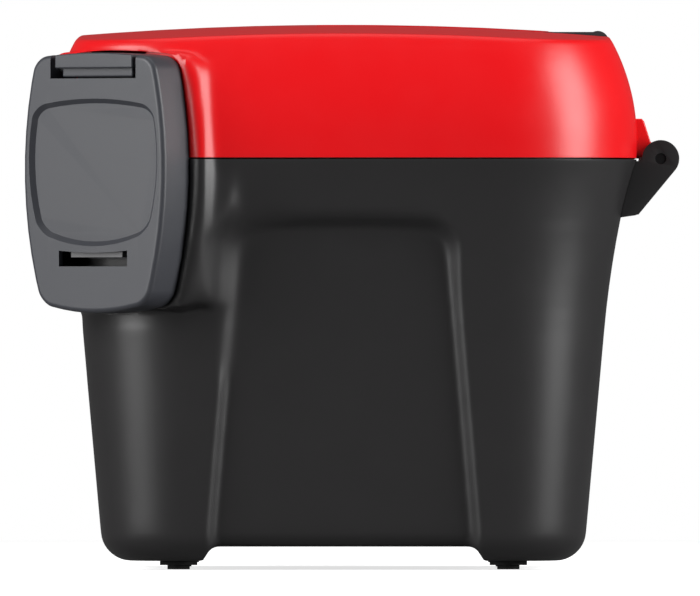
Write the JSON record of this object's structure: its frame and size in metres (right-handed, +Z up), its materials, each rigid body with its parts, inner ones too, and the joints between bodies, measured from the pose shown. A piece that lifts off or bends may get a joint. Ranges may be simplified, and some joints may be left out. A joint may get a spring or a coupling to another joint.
{
  "type": "dog waste bin",
  "caption": "Rounded, flared waste bin on rubber feet with a hinged crowned lid, folding handle and corner snap latches over an inner bucket.",
  "frame": {"origin": "on the floor, midway between the latches' and the hinges' outermost points in X and midway in Y", "axes": "+Z up, +X towards the back hinges, -X towards the front, -Y towards the side seen in the picture"},
  "size_m": [0.2928, 0.2906, 0.2443],
  "materials": {
    "body_black": "fine moulded texture",
    "lid_red": "satin gloss",
    "latch_grey": "fine moulded texture",
    "hook_grey": "smooth, slippery",
    "liner_grey": "smooth moulding",
    "ring_grey": "smooth moulding",
    "panel_grey": "smooth moulding",
    "handle_black": "fine moulded texture",
    "rubber": "soft, dull",
    "charcoal": "carbon felt",
    "steel": "zinc plated"
  },
  "bodies": {
    "bin": {"bin_body": "body_black", "feet": "rubber", "rim_frame": "body_black", "liner_bucket": "liner_grey", "bag_ring": "ring_grey", "hinge_bracket_near": "body_black", "hinge_bracket_far": "body_black", "hinge_pin_near": "steel", "hinge_pin_far": "steel", "hinge_screws": "steel", "catch_near": "latch_grey", "catch_far": "latch_grey", "catch_screws": "steel"},
    "lid": {"lid_shell": "lid_red", "lid_panel": "panel_grey", "lid_seal": "rubber", "lid_screws": "steel", "filter_cartridge": "charcoal", "filter_grille": "panel_grey", "keeper_near": "latch_grey", "keeper_far": "latch_grey", "keeper_screws": "steel", "latch_pin_near": "steel", "latch_pin_far": "steel", "handle_pins": "steel"},
    "lever_near": {"latch_near": "latch_grey", "hook_near": "hook_grey"},
    "lever_far": {"latch_far": "latch_grey", "hook_far": "hook_grey"},
    "handle": {"handle_bail": "handle_black", "handle_grip": "rubber"}
  },
  "joints": [
    {"name": "lid_hinge", "type": "hinge", "parent": "bin", "child": "lid", "pos_m": [0.1385, 0, 0.1838], "axis": [0, 1, 0], "range_deg": [0, 100]},
    {"name": "latch_near_hinge", "type": "hinge", "parent": "lid", "child": "lever_near", "pos_m": [-0.11041, -0.11391, 0.2243], "axis": [-0.766, 0.6428, 0], "range_deg": [0, 95]},
    {"name": "latch_far_hinge", "type": "hinge", "parent": "lid", "child": "lever_far", "pos_m": [-0.11041, 0.11391, 0.2243], "axis": [0.766, 0.6428, 0], "range_deg": [0, 95]},
    {"name": "handle_hinge", "type": "hinge", "parent": "lid", "child": "handle", "pos_m": [-0.0035, 0, 0.2363], "axis": [0, -1, 0], "range_deg": [0, 95]}
  ]
}
